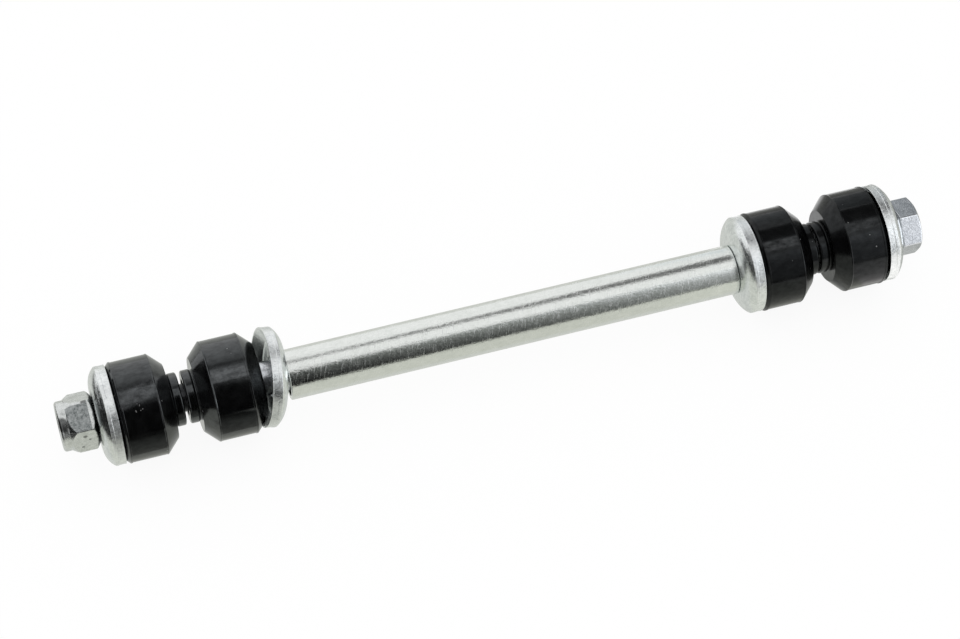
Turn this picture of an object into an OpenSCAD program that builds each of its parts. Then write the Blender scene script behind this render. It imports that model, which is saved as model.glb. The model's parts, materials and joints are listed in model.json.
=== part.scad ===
// Bolt-through stabilizer link: one long bolt carries a spacer sleeve and, at each end,
// a pair of rubber bushings held between cup washers. An arm is clamped in each neck.
// The bolt lies along X, with its head at +X and the lock nut at -X. Millimetres.

/* [Bolt] */
// Thread diameter of the bolt, and of its plain shank
bolt_d = 10; // [8:0.5:12]
// Thread pitch
thread_p = 1.5; // [1:0.25:2]
// Length of the threaded stretch, from the tip
thread_l = 36; // [30:1:60]
// Height of the hexagon head, with its washer face
head_h = 6.7; // [5:0.1:9]
// Height of the round washer face under the head
head_face_h = 0.4; // [0.2:0.1:0.8]
// Turn of the head about the bolt
head_turn = 19; // [0:1:60]

/* [Lock nut] */
// Width across the flats of the nut and of the bolt head
hex_af = 15; // [14:0.5:18]
// Full height of the nut, with its collar
nut_h = 10.6; // [9:0.1:13]
// Height of the round collar that holds the nylon ring
collar_h = 2.4; // [2:0.1:3.5]
// Wall of the collar
collar_t = 1.1; // [0.8:0.1:1.5]
// Height of the nylon ring
ring_h = 2; // [1.5:0.1:3]
// Thickness of the collar's edge that is rolled in over the ring
collar_lip = 0.5; // [0.3:0.1:0.8]
// Chamfer at the mouth of the thread and on the collar's edge
nut_edge = 0.8; // [0.4:0.1:1]
// Depth of the bolt tip below the outer end of the collar
tip_depth = 2.6; // [1:0.1:5]
// Turn of the nut about the bolt
nut_turn = 4; // [0:1:60]

/* [Cup washers] */
// Full height of a cup washer
cup_h = 5.5; // [4.5:0.1:7]
// Depth of the hollow that takes the rubber
cup_depth = 3; // [2.5:0.1:3.5]
// Thickness of the rim at its edge
lip_t = 0.45; // [0.3:0.05:1]
// Diameter of the flat on the outside
cup_flat_d = 18.5; // [16:0.5:21]
// Radius of the dome that runs from the flat to the rim
cup_dome = 6.6; // [6:0.1:8]

/* [Rubber bushings] */
// Diameter of a bushing
bush_d = 29.3; // [26:0.1:36]
// Length of its straight outer face
bush_cyl = 11.2; // [8:0.1:16]
// Length of the cone at each end
bush_cone = 3.8; // [3.4:0.1:5]
// Diameter of the flat at the small end of each cone
bush_seat_d = 21.7; // [19:0.1:24]
// Diameter of the nipple that centres the arm's eye
nipple_d = 15.5; // [14:0.1:18]
// Length of the nipple
nipple_l = 3.1; // [2:0.1:5]
// Height of the bead left by the mould's parting line
bead_h = 0.15; // [0.05:0.01:0.2]
// Width of that bead
bead_w = 1.5; // [0.5:0.1:2]

/* [Spacer sleeve] */
// Length of the sleeve
sleeve_l = 136; // [60:0.1:200]
// Wall of the sleeve
sleeve_t = 1.3; // [0.8:0.01:2]
// Chamfer on the ends of the sleeve
sleeve_edge = 0.3; // [0.1:0.1:0.6]

/* [Play in the stack] */
// Gap between the two nipples at the head end
neck_gap_head = 0.6; // [0.4:0.1:3]
// Gap between the two nipples at the nut end
neck_gap_nut = 1.25; // [1.2:0.05:3]
// Tilt of the loose cup washer beside the sleeve
tilt = 11.5; // [0:0.5:12]
// Direction in which it leans, from straight up toward the back
lean_turn = 16; // [0:1:30]
// How far it hangs below the bolt's axis
cup_sag = 0.4; // [0:0.05:0.45]
// Gap between the loose washer's lip and the bushing's cone
rock_gap = 0.3; // [0.3:0.05:1]

/* [Clearances] */
// Nut and ring on the bolt's thread, on the radius
thread_gap = 0.05; // [0.02:0.01:0.1]
// Rubber bushing on the bolt, on the radius
bush_gap = 0.3; // [0.3:0.05:0.6]
// Cup washer on the bolt, on the radius
cup_gap = 0.9; // [0.9:0.05:1.2]
// Sleeve on the bolt, on the radius
sleeve_gap = 1.05; // [0.6:0.05:1.5]
// What is left between the bolt and the sleeve that hangs on it
hang_gap = 0.1; // [0.05:0.01:0.3]
// Between flat faces that bear on each other
face_gap = 0.1; // [0.05:0.01:0.2]
// Play left between the bolt head and its cup washer
head_play = 0.8; // [0.1:0.05:0.9]
// Between the end of a bushing and the floor of its cup
seat_gap = 0.3; // [0.3:0.05:0.5]
// Between the cone of a bushing and the wall of its cup
cone_gap = 0.5; // [0.25:0.05:0.7]
// Between the tilted washer and the end of the sleeve
sleeve_end_gap = 0.3; // [0.3:0.05:0.6]

/* [Hidden] */
$fn = 96;

// Radii that several pieces share
bolt_r = bolt_d / 2;
bush_r = bush_d / 2;
seat_r = bush_seat_d / 2;
bush_bore_r = bolt_r + bush_gap;
cup_hole_r = bolt_r + cup_gap;
sleeve_in_r = bolt_r + sleeve_gap;
sleeve_r = sleeve_in_r + sleeve_t;
sleeve_sag = sleeve_gap - hang_gap;
hex_r = hex_af / 2 / cos(30);

// The hollow of a cup follows the bushing's cone at the cone clearance
cone_slope = (bush_r - seat_r) / bush_cone;
cup_floor_t = cup_h - cup_depth;
cup_floor_r = seat_r - seat_gap * cone_slope + cone_gap;
cup_lip_r = cup_floor_r + cup_depth * cone_slope;
cup_r = cup_lip_r + lip_t;
dome_reach = min(cup_r - cup_flat_d / 2, 0.8 * cup_dome);
dome_h = cup_dome - sqrt(cup_dome * cup_dome - dome_reach * dome_reach);

// Ends of the hexagons: the circle that is left when the corners are turned off
head_end_r = hex_af / 2 * 0.95;
head_face_r = hex_af / 2 * 0.97;
nut_base_r = hex_af / 2 * 0.91;

// Nylon ring, its groove in the collar and the edge that is rolled in over it
collar_r = hex_af / 2 * 0.97;
ring_r = collar_r - collar_t;
ring_mouth_r = ring_r - nut_edge;
thread_r = bolt_r + thread_gap;
ring_z = nut_h - collar_lip - ring_h;

// Length of a bushing from its seat to the tip of its nipple
bush_l = 2 * bush_cone + bush_cyl + nipple_l;

// Stations along the bolt, as distances from the bearing face of the head toward the nut
s_cup_head_out = head_play;
s_bush_head_out = s_cup_head_out + cup_floor_t + seat_gap;
s_bush_head_in = s_bush_head_out + 2 * bush_l + neck_gap_head;
s_cup_head_in = s_bush_head_in + seat_gap + cup_floor_t;
s_sleeve = s_cup_head_in + face_gap;
s_sleeve_end = s_sleeve + sleeve_l;

// The loose washer leans on the edge of the sleeve's end and turns about the middle of its hole
lean_z = sleeve_r - (sleeve_sag - cup_sag) * cos(lean_turn) + cup_floor_t / 2 * sin(tilt);
lean_reach = cup_floor_t / 2 * cos(tilt) + lean_z * tan(tilt);
s_pivot = s_sleeve_end + sleeve_end_gap + lean_reach;

// Its lip hangs lowest toward the bushing, which starts where its cone clears that lip
rim_reach = cup_h - cup_floor_t / 2;
lip_s = s_pivot + rim_reach * cos(tilt) + cup_lip_r * sin(tilt);
lip_low_r = cup_lip_r * cos(tilt) - rim_reach * sin(tilt) + cup_sag * cos(lean_turn);
s_bush_nut_in = lip_s + (bush_r - lip_low_r + rock_gap) / cone_slope - bush_cone;
s_bush_nut_out = s_bush_nut_in + 2 * bush_l + neck_gap_nut;
s_cup_nut_out = s_bush_nut_out + seat_gap + cup_floor_t;
s_nut = s_cup_nut_out + face_gap;
s_nut_end = s_nut + nut_h;
bolt_l = s_nut_end - tip_depth;

// The middle of the whole link lies at the origin
head_x = (s_nut_end - head_h) / 2;

// Thread: a row of ridges at the pitch, on a core of the thread's root diameter
thread_depth = 0.6134 * thread_p;
thread_n = floor(thread_l / thread_p);
tip_chamfer = thread_depth;

zinc = [0.80, 0.81, 0.80];
sleeve_zinc = [0.78, 0.78, 0.75];
nut_zinc = [0.72, 0.74, 0.74];
rubber = [0.07, 0.07, 0.075];
nylon = [0.86, 0.86, 0.80];

// Puts a piece that was drawn up the Z axis on the bolt, its base at station s, top toward the nut
module toward_nut(s) {
    translate([head_x - s, 0, 0])
        rotate([0, -90, 0])
            children();
}

// The same with the top toward the head
module toward_head(s) {
    translate([head_x - s, 0, 0])
        rotate([0, 90, 0])
            children();
}

// Hexagonal bar with its corners turned off to a circle at each end, at an angle from the end face
module hex_bar(h, low_r, low_angle, high_r, high_angle) {
    out_r = hex_r + 0.1;
    intersection() {
        cylinder(h = h, r = hex_r, $fn = 6);
        rotate_extrude()
            polygon([
                [0, 0],
                [low_r, 0],
                [out_r, (out_r - low_r) * tan(low_angle)],
                [out_r, h - (out_r - high_r) * tan(high_angle)],
                [high_r, h],
                [0, h]
            ]);
    }
}

// Turned outline of the shank: plain, then ridged to a chamfered tip
module shank_outline() {
    plain = bolt_l - thread_n * thread_p - tip_chamfer;
    root = bolt_r - thread_depth;
    polygon(concat(
        [[0, 0], [bolt_r, 0], [bolt_r, plain]],
        [
            for (i = [0 : thread_n - 1])
                each [
                    [root, plain + (i + 0.45) * thread_p],
                    [root, plain + (i + 0.55) * thread_p],
                    [bolt_r, plain + (i + 0.94) * thread_p],
                    [bolt_r, plain + (i + 1) * thread_p]
                ]
        ],
        [[root, bolt_l], [0, bolt_l]]
    ));
}

// Bolt: hexagon head, washer face, long shank
module link_bolt() {
    color(zinc) {
        toward_nut(0) {
            rotate_extrude()
                shank_outline();
            translate([0, 0, -head_face_h])
                cylinder(h = head_face_h, r = head_face_r);
        }
        toward_head(-head_face_h)
            rotate([0, 0, head_turn])
                hex_bar(head_h - head_face_h, hex_r, 30, head_end_r, 30);
    }
}

// Pressed cup washer, its flat at z = 0 and its hollow open upward
module cup_washer() {
    rotate_extrude() {
        polygon([
            [cup_hole_r, 0],
            [cup_r - dome_reach, 0],
            [cup_r, dome_h],
            [cup_r, cup_h],
            [cup_lip_r, cup_h],
            [cup_floor_r, cup_floor_t],
            [cup_hole_r, cup_floor_t]
        ]);
        intersection() {
            translate([cup_r - dome_reach, cup_dome])
                circle(r = cup_dome);
            polygon([
                [cup_r - dome_reach, 0],
                [cup_r, 0],
                [cup_r, dome_h],
                [cup_r - dome_reach, cup_floor_t / 2]
            ]);
        }
    }
}

// Moulded bushing, its seat at z = 0 and its nipple at the top
module bushing() {
    z_bead = bush_cone + bead_w;
    z_neck = bush_cone + bush_cyl;
    z_shoulder = z_neck + bush_cone;
    rotate_extrude()
        polygon([
            [bush_bore_r, 0],
            [seat_r, 0],
            [bush_r, bush_cone],
            [bush_r + bead_h, bush_cone + bead_h],
            [bush_r + bead_h, z_bead - bead_h],
            [bush_r, z_bead],
            [bush_r, z_neck],
            [seat_r, z_shoulder],
            [nipple_d / 2, z_shoulder],
            [nipple_d / 2, z_shoulder + nipple_l],
            [bush_bore_r, z_shoulder + nipple_l]
        ]);
}

// Cup washer under the bolt head
module cup_head_outer() {
    color(zinc)
        toward_nut(s_cup_head_out)
            cup_washer();
}

// Bushing between the head and the arm
module bush_head_outer() {
    color(rubber)
        toward_nut(s_bush_head_out)
            bushing();
}

// Bushing between the arm and the sleeve, head end
module bush_head_inner() {
    color(rubber)
        toward_head(s_bush_head_in)
            bushing();
}

// Cup washer against the sleeve, head end
module cup_head_inner() {
    color(zinc)
        toward_head(s_cup_head_in)
            cup_washer();
}

// Tube that holds the two ends apart; it hangs on the bolt by the play in its bore
module spacer_sleeve() {
    color(sleeve_zinc)
        translate([0, 0, -sleeve_sag])
            toward_nut(s_sleeve)
                rotate_extrude()
                    polygon([
                        [sleeve_in_r, 0],
                        [sleeve_r - sleeve_edge, 0],
                        [sleeve_r, sleeve_edge],
                        [sleeve_r, sleeve_l - sleeve_edge],
                        [sleeve_r - sleeve_edge, sleeve_l],
                        [sleeve_in_r, sleeve_l]
                    ]);
}

// Loose cup washer at the nut end of the sleeve, leaning over with its top against the sleeve
module cup_nut_inner() {
    color(zinc)
        translate([head_x - s_pivot, 0, -cup_sag])
            rotate([-lean_turn, 0, 0])
                rotate([0, tilt - 90, 0])
                    translate([0, 0, -cup_floor_t / 2])
                        cup_washer();
}

// Bushing between the sleeve and the bar, nut end
module bush_nut_inner() {
    color(rubber)
        toward_nut(s_bush_nut_in)
            bushing();
}

// Bushing between the bar and the nut
module bush_nut_outer() {
    color(rubber)
        toward_head(s_bush_nut_out)
            bushing();
}

// Cup washer under the nut
module cup_nut_outer() {
    color(zinc)
        toward_head(s_cup_nut_out)
            cup_washer();
}

// Lock nut: hexagon, then a round collar with a groove for the nylon ring
module lock_nut() {
    color(nut_zinc)
        toward_nut(s_nut)
            difference() {
                union() {
                    rotate([0, 0, nut_turn])
                        hex_bar(nut_h - collar_h, nut_base_r, 36, collar_r, 57);
                    rotate_extrude()
                        polygon([
                            [0, nut_h / 2],
                            [collar_r, nut_h / 2],
                            [collar_r, nut_h - nut_edge],
                            [collar_r - nut_edge, nut_h],
                            [0, nut_h]
                        ]);
                }
                translate([0, 0, -1])
                    cylinder(h = nut_h + 2, r = thread_r);
                cylinder(h = nut_edge, r1 = thread_r + nut_edge, r2 = thread_r);
                translate([0, 0, ring_z])
                    cylinder(h = ring_h, r = ring_r);
                translate([0, 0, ring_z])
                    cylinder(h = nut_h, r = ring_mouth_r);
            }
}

// Nylon ring that grips the thread
module nylon_ring() {
    color(nylon)
        toward_nut(s_nut + ring_z)
            difference() {
                cylinder(h = ring_h, r = ring_r);
                translate([0, 0, -1])
                    cylinder(h = ring_h + 2, r = thread_r);
            }
}

link_bolt();
cup_head_outer();
bush_head_outer();
bush_head_inner();
cup_head_inner();
spacer_sleeve();
cup_nut_inner();
bush_nut_inner();
bush_nut_outer();
cup_nut_outer();
lock_nut();
nylon_ring();
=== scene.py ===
import json
from math import atan2, cos, hypot, pi, radians, sin, sqrt, tan

import bmesh
import bpy
from mathutils import Matrix, Vector


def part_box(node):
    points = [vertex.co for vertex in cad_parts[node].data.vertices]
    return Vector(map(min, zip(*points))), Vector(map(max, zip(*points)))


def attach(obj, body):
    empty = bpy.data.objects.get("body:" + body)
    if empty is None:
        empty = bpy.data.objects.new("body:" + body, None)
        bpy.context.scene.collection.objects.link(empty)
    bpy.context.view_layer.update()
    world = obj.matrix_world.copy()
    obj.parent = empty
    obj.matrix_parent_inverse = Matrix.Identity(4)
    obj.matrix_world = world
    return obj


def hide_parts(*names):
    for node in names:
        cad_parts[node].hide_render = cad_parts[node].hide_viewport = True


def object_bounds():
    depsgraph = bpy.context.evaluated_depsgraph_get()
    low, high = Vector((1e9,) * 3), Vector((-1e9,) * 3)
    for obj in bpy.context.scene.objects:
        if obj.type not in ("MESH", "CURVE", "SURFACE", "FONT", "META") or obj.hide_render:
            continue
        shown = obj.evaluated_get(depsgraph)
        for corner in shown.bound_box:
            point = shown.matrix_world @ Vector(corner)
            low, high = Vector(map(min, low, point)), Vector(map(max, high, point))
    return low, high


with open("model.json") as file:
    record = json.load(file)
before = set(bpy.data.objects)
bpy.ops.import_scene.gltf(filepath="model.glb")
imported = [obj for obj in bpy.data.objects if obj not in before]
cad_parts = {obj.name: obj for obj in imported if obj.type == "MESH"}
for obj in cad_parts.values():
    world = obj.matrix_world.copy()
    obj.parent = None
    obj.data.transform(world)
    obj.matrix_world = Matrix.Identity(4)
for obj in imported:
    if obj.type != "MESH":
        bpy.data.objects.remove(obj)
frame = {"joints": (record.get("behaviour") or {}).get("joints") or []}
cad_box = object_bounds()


# Link bolt: a long M10 steel bolt, cold headed with a hexagon, its end rolled with a
# 1.5 mm thread, zinc plated. Every other piece is threaded onto it and the nut closes it.
# Outlines, here and below, are in millimetres: distance along the bolt, radius and fillet.
mm = 0.001
wrench_size, hexagon_round = 15, 0.55
bolt_low, bolt_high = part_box("link_bolt")
head_top, bolt_tip = bolt_high[0] / mm, bolt_low[0] / mm
head_height, head_end_r, head_corner = 6.3, 7.125, radians(49)
dish_r, dish_depth, dish_slope = 5.2, 0.25, 0.5
bearing_face_r, bearing_face = 7.275, 0.4
shank_r, thread_root, thread_length, run_out_length = 5, 4.08, 36, 1.1
thread_pitch, thread_turns, ridge_height, lead_in = 1.5, 23.4, 0.92, 0.6
thread_start = bolt_tip + thread_length


def rounded(corners, closed, steps=5):
    """The corners (along, radius, fillet) as points. Each fillet becomes an arc, with a short
    straight run kept on both its sides so that flat faces are shaded flat."""
    points = []
    count = len(corners)
    for i, (a, r, fillet) in enumerate(corners):
        here = Vector((a, r))
        if not fillet or (not closed and i in (0, count - 1)):
            points.append((a, r))
            continue
        back = Vector(corners[i - 1][:2]) - here
        ahead = Vector(corners[(i + 1) % count][:2]) - here
        half = back.angle(ahead) / 2
        room = 0.48 * min(back.length, ahead.length)
        reach = min(fillet / tan(half), room)
        straight = 0.12 * reach
        back.normalize()
        ahead.normalize()
        first, last = here + back * reach, here + ahead * reach
        centre = here + (back + ahead).normalized() * reach / cos(half)
        arm = first - centre
        turn = arm.angle_signed(last - centre)
        points.append(tuple(first + back * straight))
        for k in range(steps + 1):
            angle = -turn * k / steps
            points.append((
                centre.x + arm.x * cos(angle) - arm.y * sin(angle),
                centre.y + arm.x * sin(angle) + arm.y * cos(angle),
            ))
        points.append(tuple(last + ahead * straight))
    return points


def shaded(mesh):
    """Smooth shading, broken at every edge of more than 38 degrees."""
    mesh.shade_smooth()
    mesh.set_sharp_from_angle(angle=radians(38))


def revolved(name, angles, outline, closed=True):
    """A piece round the X axis, with one column of outline(angle) points at each angle."""
    mesh = bpy.data.meshes.new(name)
    shape = bmesh.new()
    columns = []
    for angle in angles:
        columns.append([
            shape.verts.new((a * mm, r * mm * cos(angle), r * mm * sin(angle)))
            for a, r in outline(angle)
        ])
    rows = len(columns[0])
    for i, column in enumerate(columns):
        beside = columns[(i + 1) % len(columns)]
        for k in range(rows if closed else rows - 1):
            n = (k + 1) % rows
            shape.faces.new((column[k], beside[k], beside[n], column[n]))
    bmesh.ops.remove_doubles(shape, verts=shape.verts, dist=1e-8)
    bmesh.ops.recalc_face_normals(shape, faces=shape.faces)
    shape.to_mesh(mesh)
    shape.free()
    shaded(mesh)
    piece = bpy.data.objects.new(name, mesh)
    bpy.context.scene.collection.objects.link(piece)
    return piece


def hexagon(angle, corner, flats, round_off):
    """Radius at an angle of a hexagon with one of its rounded corners at the angle corner."""
    off = (angle - corner + pi / 6) % (pi / 3) - pi / 6
    centre = (flats / 2 - round_off) / cos(pi / 6)
    tangent = atan2(round_off / 2, centre + round_off * cos(pi / 6))
    if abs(off) < tangent:
        return centre * cos(off) + sqrt(round_off ** 2 - (centre * sin(off)) ** 2)
    return flats / 2 / cos(pi / 6 - abs(off))


def hexagon_angles(corner, per_side, crowding=2.2):
    """Angles round a hexagon, crowded together at its corners."""
    spread = [2 * k / per_side - 1 for k in range(per_side)]
    return [
        corner + side * pi / 3 + pi / 6 * (1 if t > 0 else -1) * abs(t) ** crowding
        for side in range(6) for t in spread
    ]


def bolt_column(angle):
    """The bolt's outline at an angle round it, from the head's top to the tip."""
    side = hexagon(angle, head_corner, wrench_size, hexagon_round)
    chamfer = (side - head_end_r) * tan(radians(30))
    head_base = head_top - head_height
    return rounded([
        (head_top - dish_depth, 0, 0),
        (head_top - dish_depth, dish_r, 0.3),
        (head_top, dish_r + dish_slope, 0.3),
        (head_top, head_end_r, 0.5),
        (head_top - chamfer, side, 0.35),
        (head_base, side, 0.25),
        (head_base, bearing_face_r, 0.08),
        (head_base - bearing_face, bearing_face_r, 0.1),
        (head_base - bearing_face, shank_r, 0.5),
        (thread_start, shank_r, 0.2),
        (thread_start - run_out_length, thread_root, 0.2),
        (bolt_tip, thread_root, 0.4),
        (bolt_tip, 0, 0),
    ], closed=False)


link_bolt = revolved(
    "link_bolt_steel", hexagon_angles(head_corner, per_side=26), bolt_column, closed=False)


# The bolt's finish: bright zinc, with painted shade darkening it along the thread.
def add(tree, kind, inputs=None, **settings):
    """A node with its inputs set to values or linked to sockets."""
    node = tree.nodes.new(kind)
    for key, value in settings.items():
        setattr(node, key, value)
    for key, value in (inputs or {}).items():
        if isinstance(value, bpy.types.NodeSocket):
            tree.links.new(value, node.inputs[key])
        else:
            node.inputs[key].default_value = value
    return node


def reckon(tree, operation, *values):
    """The result of a sum on numbers."""
    return add(tree, "ShaderNodeMath", dict(enumerate(values)), operation=operation).outputs["Value"]


def reckon_vector(tree, operation, *values):
    """The result of a sum on vectors: a vector, or a number for a length or a product."""
    node = add(tree, "ShaderNodeVectorMath", dict(enumerate(values)), operation=operation)
    gives_number = operation in ("LENGTH", "DISTANCE", "DOT_PRODUCT")
    return node.outputs["Value" if gives_number else "Vector"]


def ramp(tree, value, start, end, low=0, high=1, **settings):
    """A value taken from the range start to end over to low to high, and held outside it."""
    return add(tree, "ShaderNodeMapRange", {
        "Value": value, "From Min": start, "From Max": end, "To Min": low, "To Max": high,
    }, **settings).outputs["Result"]


def noise(tree, vector, scale, detail, roughness=0.5, distortion=0):
    """Clouds from 0 to 1, with finer clouds on them."""
    return add(tree, "ShaderNodeTexNoise", {
        "Vector": vector, "Scale": scale, "Detail": detail, "Roughness": roughness,
        "Distortion": distortion,
    }).outputs["Fac"]


def mapped(tree, vector, **changes):
    """A vector stretched by Scale and turned by Rotation."""
    return add(tree, "ShaderNodeMapping", {"Vector": vector, **changes}).outputs["Vector"]


def toned(tree, factor, first, last, start=0, end=1):
    """A colour that goes from first to last as the factor goes from start to end."""
    tone = add(tree, "ShaderNodeValToRGB", {"Fac": factor})
    for element, colour, position in zip(tone.color_ramp.elements, (first, last), (start, end)):
        element.position = position
        element.color = (*colour, 1)
    return tone.outputs["Color"]


def covered(tree, share, under, over):
    """The colour under, with its share covered by the colour over."""
    return add(tree, "ShaderNodeMix", {
        "Factor": share, 6: under, 7: (*over, 1)}, data_type="RGBA").outputs[2]


def surface(name):
    """A new material, with its node tree, its shader and the place on the object."""
    material = bpy.data.materials.new(name)
    material.use_nodes = True
    tree = material.node_tree
    place = add(tree, "ShaderNodeTexCoord").outputs["Object"]
    return material, tree, tree.nodes["Principled BSDF"], place


def coat(tree, shader, colour, gloss, height, depth):
    """Gives a shader its colour, its roughness and a bump of a depth in metres."""
    bump = add(tree, "ShaderNodeBump", {"Height": height, "Strength": 1, "Distance": depth})
    tree.links.new(colour, shader.inputs["Base Color"])
    tree.links.new(gloss, shader.inputs["Roughness"])
    tree.links.new(bump.outputs["Normal"], shader.inputs["Normal"])


def blot(tree, place, cloud, centre, spread, strength):
    """How much of a ragged patch shows: strength at its centre, none from its spread on."""
    off = reckon_vector(tree, "SUBTRACT", place, centre)
    far = reckon_vector(tree, "LENGTH", reckon_vector(tree, "DIVIDE", off, spread))
    ragged = reckon(tree, "ADD", far, cloud)
    return ramp(tree, ragged, 1, 1.5, strength, 0, interpolation_type="SMOOTHSTEP")


def zinc(name, dull, bright, blotch, rough, grain, depth, stretch=(1, 1, 1), stains_and_shade=(), scuff=0):
    """Zinc plate: clouded colour and gloss, a fine grain that can be stretched, dark patches,
    each given as centre, spread and strength, some real stains, some painted shade and painted
    dark reflection, and slanting scratches that scuff the gloss."""
    material, tree, metal, place = surface(name)
    metal.inputs["Metallic"].default_value = 1
    cloud = noise(tree, place, blotch, detail=5, roughness=0.6, distortion=0.4)
    fine = noise(tree, mapped(tree, place, Scale=stretch), grain, detail=4, roughness=0.65)
    clouding = ramp(tree, reckon(tree, "ADD", cloud, fine), 0.75, 1.25)
    colour = toned(tree, clouding, dull, bright)
    # Dark patches laid over the colour: real stains, painted shade and painted dark reflection, as
    # each piece lists them.
    for dark_patch in stains_and_shade:
        colour = covered(tree, blot(tree, place, cloud, *dark_patch), colour, (0.015, 0.016, 0.017))
    gloss = ramp(tree, clouding, 0, 1, *rough)
    if scuff:
        slant = reckon_vector(tree, "DOT_PRODUCT", place, (1, -0.28, -0.2))
        slant = add(tree, "ShaderNodeCombineXYZ", {"X": slant}).outputs["Vector"]
        strokes = reckon_vector(tree, "ADD", mapped(tree, place, Scale=(0, 0.12, 0.12)), slant)
        strokes = noise(tree, strokes, scale=2600, detail=3, roughness=0.6)
        gloss = reckon(tree, "ADD", gloss, ramp(tree, strokes, 0.5, 0.66, 0, scuff))
    coat(tree, metal, colour, gloss, fine, depth)
    return material


# Painted shade over the thread and a little beyond it, for the dark gap between the nipples where the
# bolt shows.
thread_shade_middle, thread_shade_spread = bolt_tip * mm + 0.017, 0.035
bolt_zinc = zinc(
    "bolt_zinc", dull=(0.54, 0.56, 0.59), bright=(0.80, 0.82, 0.85), blotch=420,
    rough=(0.16, 0.28), grain=1900, depth=0.00004,
    stains_and_shade=[((thread_shade_middle, 0, 0), (thread_shade_spread, 1, 1), 0.96)],
)

# The rolled thread: a ridge of trapezoid section swept along a spiral, thinning out at both
# ends, joined to the shank's core.
thread = bpy.data.node_groups.new("rolled_thread", "GeometryNodeTree")
for label, kind in (
    ("Geometry", "NodeSocketGeometry"), ("Pitch", "NodeSocketFloat"), ("Turns", "NodeSocketFloat"),
    ("Root Radius", "NodeSocketFloat"), ("Ridge Height", "NodeSocketFloat"),
    ("Start", "NodeSocketVector"), ("Finish", "NodeSocketMaterial"),
):
    thread.interface.new_socket(label, in_out="INPUT", socket_type=kind)
thread.interface.new_socket("Geometry", in_out="OUTPUT", socket_type="NodeSocketGeometry")
given = add(thread, "NodeGroupInput").outputs
spiral = add(thread, "GeometryNodeCurveSpiral", {
    "Resolution": 56, "Rotations": given["Turns"], "Start Radius": given["Root Radius"],
    "End Radius": given["Root Radius"],
    "Height": reckon(thread, "MULTIPLY", given["Pitch"], given["Turns"]),
})
upright = add(thread, "GeometryNodeSetCurveNormal", {"Curve": spiral.outputs["Curve"]}, mode="Z_UP")
foot = reckon(thread, "MULTIPLY", given["Pitch"], 0.94)
crest = reckon(thread, "MULTIPLY", given["Pitch"], 0.14)
section = add(thread, "GeometryNodeCurvePrimitiveQuadrilateral", {
    "Height": given["Ridge Height"], "Bottom Width": foot, "Top Width": crest, "Offset": 0,
}, mode="TRAPEZOID")
lift = reckon(thread, "MULTIPLY", given["Ridge Height"], 0.48)
outward = add(thread, "ShaderNodeCombineXYZ", {"X": lift})
profile = add(thread, "GeometryNodeTransform", {
    "Geometry": section.outputs["Curve"], "Translation": outward.outputs["Vector"],
    "Rotation": (0, 0, -pi / 2),
})
along = add(thread, "GeometryNodeSplineParameter").outputs["Factor"]
run_in = ramp(thread, along, 0, 0.05, 0.1, 1)
run_out = ramp(thread, along, 0.955, 1, 1, 0.2)
ridge = add(thread, "GeometryNodeCurveToMesh", {
    "Curve": upright.outputs["Curve"], "Profile Curve": profile.outputs["Geometry"],
    "Scale": reckon(thread, "MINIMUM", run_in, run_out), "Fill Caps": True,
})
laid = add(thread, "GeometryNodeTransform", {
    "Geometry": ridge.outputs["Mesh"], "Translation": given["Start"], "Rotation": (0, -pi / 2, 0),
})
joined = add(thread, "GeometryNodeJoinGeometry")
thread.links.new(laid.outputs["Geometry"], joined.inputs["Geometry"])
thread.links.new(given["Geometry"], joined.inputs["Geometry"])
real = add(thread, "GeometryNodeRealizeInstances", {"Geometry": joined.outputs["Geometry"]})
plated = add(thread, "GeometryNodeSetMaterial", {
    "Geometry": real.outputs["Geometry"], "Material": given["Finish"]})
add(thread, "NodeGroupOutput", {"Geometry": plated.outputs["Geometry"]})


def grown(piece, tree, values):
    """Runs a geometry node tree on a piece, with its inputs set by name, and keeps the mesh."""
    modifier = piece.modifiers.new(tree.name, "NODES")
    modifier.node_group = tree
    for item in tree.interface.items_tree:
        if item.in_out == "INPUT" and item.name in values:
            modifier[item.identifier] = values[item.name]
    evaluated = piece.evaluated_get(bpy.context.evaluated_depsgraph_get())
    piece.data = bpy.data.meshes.new_from_object(evaluated)
    piece.modifiers.remove(modifier)
    shaded(piece.data)


grown(link_bolt, thread, {
    "Pitch": thread_pitch * mm, "Turns": thread_turns, "Root Radius": thread_root * mm,
    "Ridge Height": ridge_height * mm, "Start": ((thread_start - lead_in) * mm, 0, 0),
    "Finish": bolt_zinc,
})
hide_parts("link_bolt")
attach(link_bolt, "bolt")


# Cup washers: four discs pressed from 2.5 mm strip into shallow cups, pierced for the bolt,
# zinc plated, with a coarser sheared edge. Each one cups the coned end of a bushing; the one
# at the nut end of the sleeve lies loose and leans over.
cup_zinc = zinc(
    "cup_zinc", dull=(0.63, 0.66, 0.66), bright=(0.85, 0.88, 0.875), blotch=320,
    rough=(0.14, 0.26), grain=1500, depth=0.00005,
)
cup_shear = zinc(
    "cup_shear", dull=(0.66, 0.69, 0.695), bright=(0.94, 0.96, 0.96), blotch=420,
    rough=(0.24, 0.4), grain=1700, depth=0.00009, stretch=(0.5, 1, 1),
)
strip, cup_depth, rim_start, cup_lean = 2.5, 5.5, 3.5, radians(11.5)
cup_bore_r, cup_floor_r, cup_seat_r, cup_mouth_r = 5.9, 9.25, 11.05, 14.05
cup_rim_r, cup_edge_r, sheared_from_r = 14.5, 14.42, 14.37
dome_r, dome_sweep, dome_steps = 6.6, radians(52.7), 12
dome = [dome_sweep * k / dome_steps for k in range(dome_steps + 1)]
round_steps = 176
round_angles = [2 * pi * k / round_steps for k in range(round_steps)]
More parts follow.
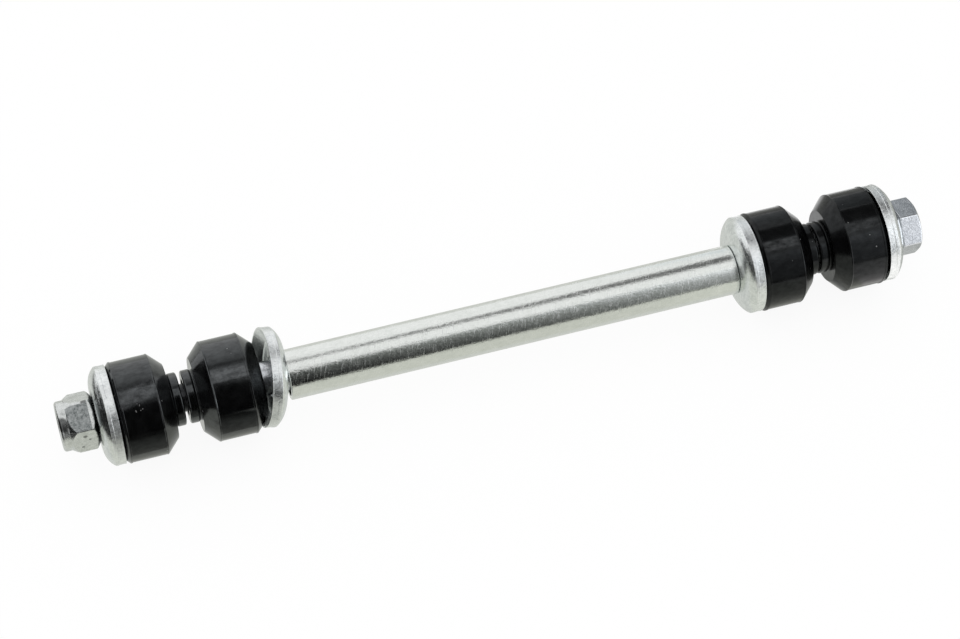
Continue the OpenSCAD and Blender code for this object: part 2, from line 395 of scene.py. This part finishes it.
cup_outline = rounded([
    (0, cup_bore_r, 0.25),
    *((dome_r - dome_r * cos(t), cup_floor_r + dome_r * sin(t), 0.22 if t == dome[-1] else 0)
      for t in dome),
    (rim_start, cup_rim_r, 0.08),
    (rim_start + 0.1, cup_edge_r, 0.08),
    (cup_depth - 0.3, cup_edge_r, 0.08),
    (cup_depth - 0.2, cup_rim_r, 0.06),
    (cup_depth, cup_rim_r - 0.02, 0.06),
    (cup_depth, cup_mouth_r, 0.14),
    (strip, cup_seat_r, 0.9),
    (strip, cup_bore_r, 0.25),
], closed=True)
rock = next(j for j in frame["joints"] if j["name"] == "cup_nut_inner_rock")
for node, opens in (
    ("cup_head_outer", -1), ("cup_head_inner", 1), ("cup_nut_inner", -1), ("cup_nut_outer", 1),
):
    low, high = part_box(node)
    cup = revolved(node + "_steel", round_angles, lambda angle: cup_outline)
    cup.data.materials.append(cup_zinc)
    cup.data.materials.append(cup_shear)
    for face in cup.data.polygons:
        face.material_index = int(hypot(face.center.y, face.center.z) > sheared_from_r * mm)
    placing = Matrix.Translation((low[0] if opens > 0 else high[0], 0, 0))
    if node == "cup_nut_inner":
        lean = Matrix.Rotation(cup_lean, 4, Vector(rock["axis"]))
        placing = Matrix.Translation(rock["pos_m"]) @ lean @ Matrix.Translation((strip / 2 * mm, 0, 0))
    cup.data.transform(placing @ Matrix.Diagonal((opens, 1, 1, 1)))
    if opens < 0:
        cup.data.flip_normals()
    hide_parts(node)
    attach(cup, node)


# Rubber bushings: four moulded grommets with a cone at each end, a parting bead and a nipple
# that centres the eye of a bar or arm. Black rubber with a satin skin, wiped here and there,
# a dusting of talc and a painted highlight in smears along its upper side. The nut end's pair
# is the glossier one.
def rubber(name, shine, rough, dust, spot, spot_r, painted_sheen):
    """Black rubber: clouded roughness, a lustre in smears, pale specks that crowd round a
    spot, and a painted highlight in smears, given as middle, half its width, reach, slant and
    strength."""
    material, tree, skin, place = surface(name)
    cloud = noise(tree, place, scale=240, detail=6, roughness=0.65)
    fine = noise(tree, place, scale=3200, detail=3, roughness=0.6)
    wiped = mapped(tree, place, Rotation=(0, 0.6, 0.5), Scale=(0.55, 1, 1))
    smear = noise(tree, wiped, scale=700, detail=6, roughness=0.7)
    lustre = ramp(tree, smear, 0.35, 0.65, 0.72 * shine, 1.28 * shine)
    tree.links.new(lustre, skin.inputs["Specular IOR Level"])
    skin.inputs["Specular Tint"].default_value = (0.91, 0.97, 1, 1)

    cells = add(tree, "ShaderNodeTexVoronoi", {"Vector": place, "Scale": 1500}).outputs
    pick = add(tree, "ShaderNodeSeparateColor", {"Color": cells["Color"]}).outputs
    crowd = ramp(tree, reckon_vector(tree, "DISTANCE", place, spot), 0, spot_r, dust, 0.005)
    chosen = reckon(tree, "LESS_THAN", pick["Red"], crowd)
    size = ramp(tree, pick["Green"], 0, 1, 0.12, 0.4)
    inside = reckon(tree, "LESS_THAN", cells["Distance"], size)
    speck = reckon(tree, "MULTIPLY", chosen, inside)

    # Painted highlight: a pale band on the cylinder's upper side, broken into smears.
    middle, half_width, reach, slant, strength = painted_sheen
    apart = reckon_vector(tree, "SUBTRACT", place, middle)
    aside = add(tree, "ShaderNodeSeparateXYZ", {"Vector": apart}).outputs["X"]
    aside = reckon(tree, "ABSOLUTE", aside)
    band = ramp(tree, aside, half_width - 0.0008, half_width, 1, 0)
    turned = mapped(tree, apart, Rotation=(0, 0, slant))
    about = reckon_vector(tree, "LENGTH", reckon_vector(tree, "MULTIPLY", turned, (0, 1, 1)))
    fade = ramp(tree, about, 0.55 * reach, reach, strength, 0, interpolation_type="SMOOTHSTEP")
    patchy = ramp(tree, smear, 0.38, 0.64, 0.1, 1.2)
    sheen_share = reckon(tree, "MULTIPLY", reckon(tree, "MULTIPLY", band, fade), patchy)

    colour = toned(tree, cloud, (0.0008, 0.0008, 0.0009), (0.0026, 0.0026, 0.0028), 0.3, 0.75)
    # The painted highlight laid over the black.
    colour = covered(tree, sheen_share, colour, (0.14, 0.145, 0.15))
    colour = covered(tree, speck, colour, (0.15, 0.15, 0.15))
    coat(tree, skin, colour, ramp(tree, cloud, 0.3, 0.7, *rough), fine, 0.000004)
    return material


bush_bore_r, bush_end_r, bush_body_r, nipple_r = 5.3, 10.85, 14.65, 7.75
bead_r, seam_r, nipple_groove = 14.8, 14.75, 0.55
cone, shoulder, bush_length = 3.8, 18.8, 21.9
far_cone = shoulder - cone
bush_outline = rounded([
    (0, bush_bore_r, 0.35),
    (0, bush_end_r, 0.5),
    (cone, bush_body_r, 0.15),
    (cone + 0.15, bead_r, 0.06),
    (cone + 0.6, bead_r, 0.06),
    (cone + 0.64, bush_body_r, 0.06),
    (far_cone - 0.45, bush_body_r, 0.1),
    (far_cone - 0.25, seam_r, 0.1),
    (far_cone, seam_r - 0.05, 0.2),
    (shoulder, bush_end_r, 0.3),
    (shoulder, nipple_r - nipple_groove, 0.3),
    (shoulder + 0.8, nipple_r, 0.35),
    (bush_length, nipple_r, 0.55),
    (bush_length, bush_bore_r, 0.3),
], closed=True)
satin, glossy = (0.12, 0.22), (0.08, 0.17)
sparse, dusty, spot_r = 0.01, 0.7, 0.0018
# Each row: the node, the way its nipple points, shine, roughness, share of specks, the spot
# where they crowd, and the painted highlight.
for node, nipple, shine, rough, dust, spot, painted_sheen in (
    ("bush_head_outer", -1, 0.29, satin, sparse, (0.11, -0.012, 0.008),
     ((0.1101, -0.0058, 0.0134), 0.0056, 0.0018, 0, 0.1)),
    ("bush_head_inner", 1, 0.24, satin, sparse, (0.085, -0.012, 0.008),
     ((0.0847, -0.0058, 0.0134), 0.0056, 0.0018, 0, 0.2)),
    ("bush_nut_inner", -1, 0.88, glossy, sparse, (-0.08, -0.012, 0.008),
     ((-0.0808, -0.0056, 0.0135), 0.0054, 0.0022, 0, 0.28)),
    ("bush_nut_outer", 1, 0.85, glossy, dusty, (-0.1075, -0.0087, 0.0118),
     ((-0.107, -0.0053, 0.0137), 0.0056, 0.003, -0.3, 0.2)),
):
    low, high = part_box(node)
    bush = revolved(node + "_rubber", round_angles, lambda angle: bush_outline)
    seat = low[0] if nipple > 0 else high[0]
    bush.data.transform(Matrix.Translation((seat, 0, 0)) @ Matrix.Diagonal((nipple, 1, 1, 1)))
    if nipple < 0:
        bush.data.flip_normals()
    bush.data.materials.append(rubber(node + "_black", shine, rough, dust, spot, spot_r, painted_sheen))
    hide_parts(node)
    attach(bush, node)


# Spacer sleeve: a length of drawn steel tube, faced at both ends, zinc plated. It slides
# over the bolt, hangs on it by the play in its bore, and holds the inner cups apart.
sleeve_zinc = zinc(
    "sleeve_zinc", dull=(0.71, 0.735, 0.71), bright=(0.81, 0.83, 0.81), blotch=300,
    rough=(0.08, 0.18), grain=1700, depth=0.00005, stretch=(0.45, 1, 1), scuff=0.17,
)
sleeve_r, sleeve_bore_r = 7.35, 6.05
sleeve_low, sleeve_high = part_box("spacer_sleeve")
sleeve_outline = rounded([
    (sleeve_low[0] / mm, sleeve_bore_r, 0.12),
    (sleeve_low[0] / mm, sleeve_r, 0.3),
    (sleeve_high[0] / mm, sleeve_r, 0.3),
    (sleeve_high[0] / mm, sleeve_bore_r, 0.12),
], closed=True)
sleeve = revolved("spacer_sleeve_steel", round_angles, lambda angle: sleeve_outline)
sleeve.data.transform(Matrix.Translation((0, 0, (sleeve_low[2] + sleeve_high[2]) / 2)))
sleeve.data.materials.append(sleeve_zinc)
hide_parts("spacer_sleeve")
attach(sleeve, "sleeve")


# Lock nut: a cold-formed hexagon with a round collar, whose edge is rolled in over the
# nylon ring. Zinc plated, duller and more clouded than the bolt, with one flat painted darker
# as a painted dark reflection. Its dark patches: painted shade in a ring at the base, a painted
# dark reflection on the collar, and real stains, a smudge and three pits on the flats.
nut_zinc = zinc(
    "nut_zinc", dull=(0.52, 0.54, 0.53), bright=(0.78, 0.80, 0.795), blotch=520,
    rough=(0.18, 0.32), grain=2000, depth=0.00004,
    stains_and_shade=[
        # Painted shade: a dark ring at the base, in the gap against the cup.
        ((-0.1194, 0, 0), (0.0010, 1, 1), 0.9),
        # Painted dark reflection: a blot on the collar.
        ((-0.1288, -0.0041, 0.0060), (0.0026, 0.0024, 0.0024), 0.8),
        # Real stains: a smudge and three pits on the flats.
        ((-0.1219, 0.0003, 0.0085), (0.0011, 0.0010, 0.0010), 0.65),
        ((-0.1235, -0.0073, 0.0026), (0.0008, 0.0007, 0.0007), 0.65),
        ((-0.1223, -0.0074, 0.0011), (0.0006, 0.0005, 0.0005), 0.6),
        ((-0.1246, -0.0076, -0.0015), (0.0006, 0.0005, 0.0005), 0.6),
    ],
)
# Painted dark reflection: a darker copy of the nut's zinc for one flat.
nut_painted_dark_flat = zinc(
    "nut_painted_dark_flat", dull=(0.12, 0.135, 0.135), bright=(0.46, 0.48, 0.48), blotch=700,
    rough=(0.24, 0.4), grain=2000, depth=0.00004,
)
nut_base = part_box("lock_nut")[1][0] / mm
nut_corner = radians(26)
hexagon_height, nut_height, dark_flat_from = 8.2, 10.6, 1.7
nut_bore_r, countersink, nut_base_r, collar_r = 5.05, 0.8, 6.825, 7.275
pocket_floor, pocket_r, lip_r, lip = 8.1, 6.175, 5.375, 0.5


def nut_column(angle):
    """The nut's outline at an angle round it, with the ring's pocket in its collar."""
    side = hexagon(angle, nut_corner, wrench_size, hexagon_round)
    base_drop = (side - nut_base_r) * tan(radians(36))
    collar_drop = (side - collar_r) * tan(radians(57))
    return [(nut_base - h, r) for h, r in rounded([
        (countersink, nut_bore_r, 0),
        (0, nut_bore_r + countersink, 0.1),
        (0, nut_base_r, 0.25),
        (base_drop, side, 0.3),
        (dark_flat_from, side, 0),
        (hexagon_height - collar_drop, side, 0.3),
        (hexagon_height, collar_r, 0.3),
        (nut_height, collar_r, 1.0),
        (nut_height, lip_r, 0.25),
        (nut_height - lip, lip_r, 0.15),
        (nut_height - lip, pocket_r, 0),
        (pocket_floor, pocket_r, 0),
        (pocket_floor, nut_bore_r, 0.15),
    ], closed=True)]


nut = revolved("lock_nut_steel", hexagon_angles(nut_corner, per_side=28), nut_column)
nut.data.materials.append(nut_zinc)
nut.data.materials.append(nut_painted_dark_flat)
dark_flat_angle, dark_flat_spread, dark_flat_from_r = nut_corner + radians(91), 0.881, 7.4
dark_flat = Vector((0, cos(dark_flat_angle), sin(dark_flat_angle)))
# The one flat that takes the painted dark reflection, from a little above the base to the collar.
for face in nut.data.polygons:
    out = Vector((0, face.center.y, face.center.z))
    on_flat = out.length > dark_flat_from_r * mm and out.normalized().dot(dark_flat) > dark_flat_spread
    face.material_index = int(on_flat and face.center.x < (nut_base - dark_flat_from) * mm)
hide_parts("lock_nut")
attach(nut, "nut")


# Nylon ring: moulded, off-white and slightly clouded, pressed into the nut's collar before
# the edge is rolled in. It grips the bolt's thread.
ring_nylon, tree, nylon, place = surface("ring_nylon")
nylon.inputs["Subsurface Weight"].default_value = 0.1
nylon.inputs["Subsurface Scale"].default_value = 0.0006
cloud = noise(tree, place, scale=500, detail=4)
milky = toned(tree, cloud, (0.62, 0.61, 0.52), (0.78, 0.77, 0.68))
coat(tree, nylon, milky, ramp(tree, cloud, 0, 1, 0.32, 0.5), cloud, 0.00001)
ring_r, ring_bore_r = 6.16, 5.05
ring_low, ring_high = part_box("nylon_ring")
ring_outline = rounded([
    (ring_low[0] / mm, ring_bore_r, 0.4),
    (ring_low[0] / mm, ring_r, 0.1),
    (ring_high[0] / mm, ring_r, 0.1),
    (ring_high[0] / mm, ring_bore_r, 0.2),
], closed=True)
ring = revolved("nylon_ring_moulded", round_angles, lambda angle: ring_outline)
ring.data.materials.append(ring_nylon)
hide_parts("nylon_ring")
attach(ring, "nut")


# Studio: white paper under an even white sky. The paper shows white to the camera and to
# reflections, and keeps a soft shadow.
floor_z, floor_reach = cad_box[0][2] - 0.0001, 3
floor_mesh = bpy.data.meshes.new("floor")
floor_mesh.from_pydata([
    (-floor_reach, -floor_reach, floor_z), (floor_reach, -floor_reach, floor_z),
    (floor_reach, floor_reach, floor_z), (-floor_reach, floor_reach, floor_z),
], [], [(0, 1, 2, 3)])
floor = bpy.data.objects.new("floor", floor_mesh)
bpy.context.scene.collection.objects.link(floor)
paper = bpy.data.materials.new("paper")
paper.use_nodes = True
tree = paper.node_tree
tree.nodes.clear()
white = add(tree, "ShaderNodeBsdfDiffuse", {"Color": (1, 1, 1, 1)}).outputs["BSDF"]
lit = add(tree, "ShaderNodeEmission", {"Strength": 1}).outputs["Emission"]
ray = add(tree, "ShaderNodeLightPath").outputs
seen = reckon(tree, "ADD", ray["Is Camera Ray"], ray["Is Glossy Ray"])
seen = reckon(tree, "ADD", seen, ray["Is Transmission Ray"])
share = ramp(tree, seen, 0, 1, 0, 0.92)
mixed = add(tree, "ShaderNodeMixShader", {"Fac": share, 1: white, 2: lit}).outputs["Shader"]
add(tree, "ShaderNodeOutputMaterial", {"Surface": mixed})
floor_mesh.materials.append(paper)

world = bpy.data.worlds.new("sky")
world.use_nodes = True
world.node_tree.nodes["Background"].inputs["Color"].default_value = (1, 1, 1, 1)
world.node_tree.nodes["Background"].inputs["Strength"].default_value = 1
bpy.context.scene.world = world
bpy.context.scene.view_settings.view_transform = "Standard"


# Cards: what the plated steel and the rubber mirror. Only reflections see them, so they
# light nothing. Places are in metres, tones are shares of white.
def card(name, corners, colour=(1, 1, 1), across=(0, 1, 0, 0), upward=(0, 1, 0, 0)):
    """A glowing card that only reflections see. Its tone is the sum of a ramp along X, which
    starts slowly, and one along Z, each given as from, to, tone, tone."""
    mesh = bpy.data.meshes.new(name)
    mesh.from_pydata(corners, [], [tuple(range(len(corners)))])
    piece = bpy.data.objects.new(name, mesh)
    bpy.context.scene.collection.objects.link(piece)
    material = bpy.data.materials.new(name)
    material.use_nodes = True
    tree = material.node_tree
    tree.nodes.clear()
    place = add(tree, "ShaderNodeTexCoord").outputs["Object"]
    split = add(tree, "ShaderNodeSeparateXYZ", {"Vector": place}).outputs
    slow = reckon(tree, "POWER", ramp(tree, split["X"], *across[:2]), 2.6)
    side = ramp(tree, slow, 0, 1, *across[2:])
    rise = ramp(tree, split["Z"], *upward)
    glow = add(tree, "ShaderNodeEmission", {
        "Color": (*colour, 1), "Strength": reckon(tree, "ADD", side, rise)})
    add(tree, "ShaderNodeOutputMaterial", {"Surface": glow.outputs["Emission"]})
    mesh.materials.append(material)
    piece.visible_camera = False
    piece.visible_diffuse = False
    piece.visible_shadow = False
    piece.visible_transmission = False


def standing(y, *points):
    """Corners of a card that faces along Y, from their X and Z."""
    return [(x, y, z) for x, z in points]


def lying(x_from, x_to, y_from, y_to, z):
    """Corners of a rectangle that lies level."""
    return [(x_from, y_from, z), (x_to, y_from, z), (x_to, y_to, z), (x_from, y_to, z)]


def even(tone):
    """A ramp of one tone."""
    return (-1, 1, tone, tone)


low_z = floor_z + 0.0002
over_z = low_z + 0.0001
far_left, left, pale_left, cool_from, far_right = -1.6, -0.7, -0.16, 0.25, 0.9
curtain_y, curtain_top, dark_edge, link_y, far_back = -0.6, 1.02, -0.147, -0.012, 0.8
gets_lighter = (-0.05, 0.6, 0, 2.5)
warm, cool, green = (0.985, 1, 0.91), (0.95, 0.97, 1), (0.96, 1, 0.96)

# In front, a dark curtain and table top that get lighter to the right. At the nut end, a taller
# black curtain, a card at the left and the table's left part for the dark bands there.
for name, x_from, x_to, colour in (
    ("front", far_left, cool_from, green), ("right", cool_from, far_right, cool),
):
    card(name + "_curtain", standing(
        curtain_y, (x_from, low_z), (x_to, low_z), (x_to, curtain_top), (x_from, curtain_top),
    ), colour, across=gets_lighter, upward=(0, curtain_top, 0, 0.2))
    card(name + "_table", lying(x_from, x_to, curtain_y, dark_edge, low_z),
         colour, across=gets_lighter)
card("left_curtain", standing(
    curtain_y + 0.01, (far_left, low_z), (-0.005, low_z), (0.075, 1.39), (0.03, 1.5),
    (0.01, 2.3), (-0.052, 1.6), (-0.07, curtain_top), (far_left, curtain_top),
), across=(-0.3, -0.105, 0.5, 0.005))
card("left_card", [(left, y, z) for y, z in (
    (-0.5, low_z), (0.55, low_z), (0.5, 0.1), (0.12, 0.27), (0.05, 0.75), (-0.5, 0.75),
)], across=even(0.01), upward=(0.25, 0.75, 0, 0.9))
card("left_table", lying(left, pale_left, dark_edge, 0.12, low_z), across=even(0.02))

# Under the link, the light that the paper throws back, warmer in front, and a shaded stretch
# below the rubber of the nut end.
card("bounce_front", lying(pale_left, far_right, dark_edge, link_y, low_z),
     colour=warm, across=(0.03, 0.14, 0.69, 1.2))
card("bounce_back", lying(pale_left, far_right, link_y, far_back, low_z),
     colour=(0.985, 1, 0.95), across=(0.03, 0.14, 0.72, 0.48))
card("right_bounce", lying(0.112, far_right, dark_edge, link_y, over_z),
     colour=(1, 0.98, 0.96), across=even(1.1))
card("neck_bounce", lying(0.08, 0.13, 0.012, 0.06, over_z), across=even(1.2))
card("bush_shade", [
    (-0.112, dark_edge, low_z + 0.004), (-0.0695, dark_edge, low_z + 0.004),
    (-0.0695, -0.02, over_z), (-0.112, -0.02, over_z),
], colour=warm, upward=(low_z, low_z + 0.0019, 0.34, 0.03))

# Above and behind, single strips for the sheen on the nut end's rubber, the thin dark line
# along the sleeve's top and the grey upper side of the bolt's head.
card("bush_strip", standing(0.16, (-0.108, 0.16), (-0.04, 0.16), (0.02, 1.01), (-0.075, 1.01)),
     upward=(0.15, 0.5, 1, 0.22))
card("bush_veil", [(-0.06, -0.55, 1.4), (0, -0.55, 1.4), (0.01, 0.15, 1.5), (-0.055, 0.15, 1.5)],
     upward=(1.4, 1.5, 0.2, 0.85))
card("top_strip", [
    (-0.06, 0.159, 0.474), (0.5, -0.104, 0.489), (0.5, 0.383, 0.321), (-0.06, 0.167, 0.471),
], across=(-0.1, 0.3, 0.25, 0.08))
card("back_card", [
    (0.14, 0.48, 0.04), (far_right, 0.48, 0.04), (far_right, 0.32, 0.38), (0.24, 0.32, 0.38),
], colour=(0.92, 0.97, 1), across=(0.12, 0.3, 0.97, 0.12))


# Camera: a long lens from above and a little to the left, held level, so that the link lies
# at a slant across the frame.
azimuth, elevation, distance = radians(-16.74), radians(52.05), 0.8265
back = Vector((sin(azimuth) * cos(elevation), -cos(azimuth) * cos(elevation), sin(elevation)))
aim = Vector((-0.00484, 0.00176, 0.00127))
lens = bpy.data.cameras.new("camera")
lens.lens = 106.5
lens.sensor_width = 36
lens.clip_start = 0.05
camera = bpy.data.objects.new("camera", lens)
camera.location = aim + back * distance
camera.rotation_euler = back.to_track_quat("Z", "Y").to_euler()
bpy.context.scene.collection.objects.link(camera)
bpy.context.scene.camera = camera
